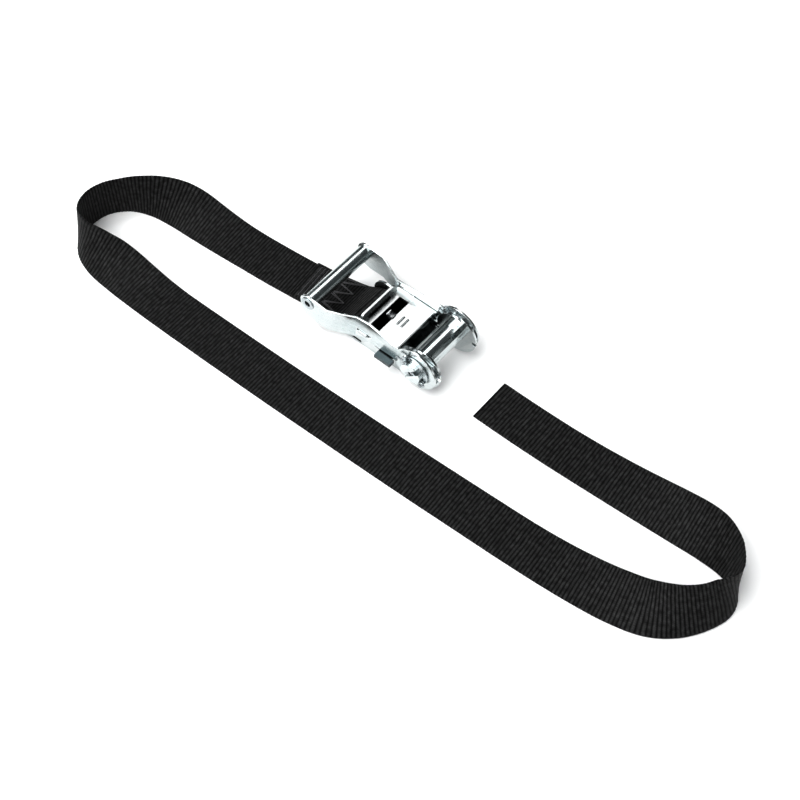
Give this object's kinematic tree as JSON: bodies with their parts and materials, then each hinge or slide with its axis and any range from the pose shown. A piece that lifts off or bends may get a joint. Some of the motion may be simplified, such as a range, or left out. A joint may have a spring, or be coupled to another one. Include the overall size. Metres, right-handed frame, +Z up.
{
  "type": "ratchet strap",
  "caption": "Ratchet buckle of zinc-plated steel with a folding handle, pawls and a slotted spool, and a short sewn black webbing strap.",
  "frame": {"origin": "on the ground, in the middle of the flat underside of the base's web, half way across the buckle", "axes": "+X from the grip to the webbing spool, +Y across the buckle to the side with the anchor nut, +Z up with the handle closed on top"},
  "size_m": [0.3824, 0.0952, 0.0278],
  "materials": {
    "zinc_frame": "bright zinc-plated pressed steel, satin",
    "zinc_pawl": "bright zinc-plated pressed steel, satin",
    "zinc_lock": "dull blue-grey zinc-plated steel",
    "zinc_bar": "zinc-plated round steel, semi-gloss",
    "zinc_wheel": "zinc-plated blanked steel, satin",
    "zinc_fastener": "zinc-plated fasteners, satin",
    "spring_steel": "dark spring wire, semi-gloss",
    "polyester_webbing": "black ribbed woven polyester, matt",
    "thread": "dark grey sewing thread"
  },
  "bodies": {
    "base": {"base_frame": "zinc_frame", "anchor_bolt": "zinc_fastener", "anchor_nut": "zinc_fastener", "lock_pawl_spring": "spring_steel", "webbing": "polyester_webbing", "webbing_eye": "polyester_webbing", "stitching": "thread"},
    "handle": {"handle_frame": "zinc_frame", "grip_tube": "zinc_bar", "grip_rivet": "zinc_fastener", "drive_pawl_spring": "spring_steel"},
    "drive_pawl": {"drive_pawl": "zinc_pawl"},
    "lock_pawl": {"lock_pawl": "zinc_lock"},
    "spool": {"spool_bar_front": "zinc_bar", "spool_bar_rear": "zinc_bar", "ratchet_wheel_near": "zinc_wheel", "ratchet_wheel_far": "zinc_wheel", "washer_near": "zinc_fastener", "washer_far": "zinc_fastener", "split_pin_near": "zinc_fastener", "split_pin_far": "zinc_fastener"}
  },
  "joints": [
    {"name": "handle_pivot", "type": "hinge", "parent": "base", "child": "handle", "pos_m": [0.02575, 0, 0.015], "axis": [0, 1, 0], "range_deg": [0, 180]},
    {"name": "spool_turn", "type": "hinge", "parent": "base", "child": "spool", "pos_m": [0.02575, 0, 0.015], "axis": [0, 1, 0], "continuous": true},
    {"name": "drive_pawl_slide", "type": "slide", "parent": "handle", "child": "drive_pawl", "axis": [1, 0, 0], "range_m": [-0.001, 0.0018], "stiffness_N_per_m": 400, "deforming": ["drive_pawl_spring"]},
    {"name": "lock_pawl_slide", "type": "slide", "parent": "base", "child": "lock_pawl", "axis": [1, 0, 0], "range_m": [-0.0015, 0.0018], "stiffness_N_per_m": 400, "deforming": ["lock_pawl_spring"]}
  ]
}
